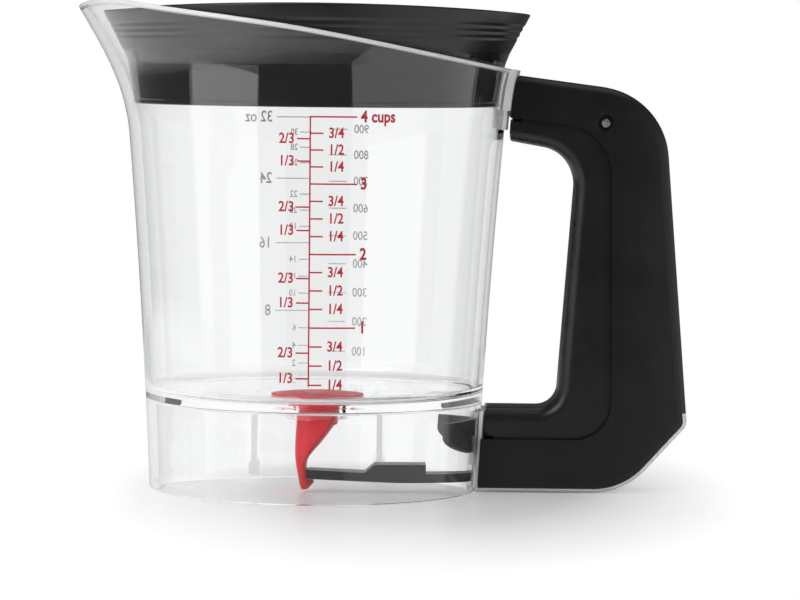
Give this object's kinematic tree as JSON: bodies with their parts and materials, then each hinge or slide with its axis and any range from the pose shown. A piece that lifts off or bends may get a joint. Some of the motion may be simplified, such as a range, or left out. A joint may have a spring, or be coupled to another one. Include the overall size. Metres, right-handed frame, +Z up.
{
  "type": "gravy fat separator",
  "caption": "Clear tapered measuring jug with pouring spout, black strainer lid, squeeze-trigger handle and a lever that lifts a red silicone stopper in its floor.",
  "frame": {"origin": "centre of the bounding box on the surface it stands on", "axes": "+Z up, +X from the spout towards the handle, +Y across the jug"},
  "size_m": [0.205, 0.1418, 0.1626],
  "materials": {
    "clear_plastic": "clear, polished",
    "lid_plastic": "black, fine satin outside, glossy band",
    "handle_plastic": "black, soft matte",
    "trigger_plastic": "black, soft satin",
    "lever_plastic": "dark grey moulded",
    "red_silicone": "translucent red silicone",
    "steel": "turned"
  },
  "bodies": {
    "jug": {"vessel": "clear_plastic", "handle_shell": "handle_plastic", "handle_spine": "clear_plastic", "trigger_pin": "steel", "return_spring": "steel", "lever_pin": "steel", "anchor_plate": "lever_plastic", "anchor_screws": "steel", "top_screw": "steel"},
    "lid": {"strainer_lid": "lid_plastic"},
    "trigger": {"trigger": "trigger_plastic"},
    "lever": {"lever_arm": "lever_plastic"},
    "stopper": {"stopper": "red_silicone"}
  },
  "joints": [
    {"name": "lid_lift", "type": "slide", "parent": "jug", "child": "lid", "axis": [0, 0, 1], "range_m": [0, 0.045]},
    {"name": "trigger_squeeze", "type": "hinge", "parent": "jug", "child": "trigger", "pos_m": [0.07395, 0, 0.1235], "axis": [0, -1, 0], "range_deg": [0, 4], "stiffness_Nm_per_rad": 3, "springref_deg": -2.86, "deforming": ["return_spring"]},
    {"name": "lever_rock", "type": "hinge", "parent": "jug", "child": "lever", "pos_m": [0.0363, 0, 0.005], "axis": [0, 1, 0], "range_deg": [0, 7.3]},
    {"name": "stopper_lift", "type": "slide", "parent": "jug", "child": "stopper", "axis": [0, 0, 1], "range_m": [0, 0.0078]}
  ],
  "couplings": [
    {"joint": "lever_rock", "follows": "trigger_squeeze", "ratio": 1.8},
    {"joint": "stopper_lift", "follows": "trigger_squeeze", "m_per_rad": 0.11}
  ]
}
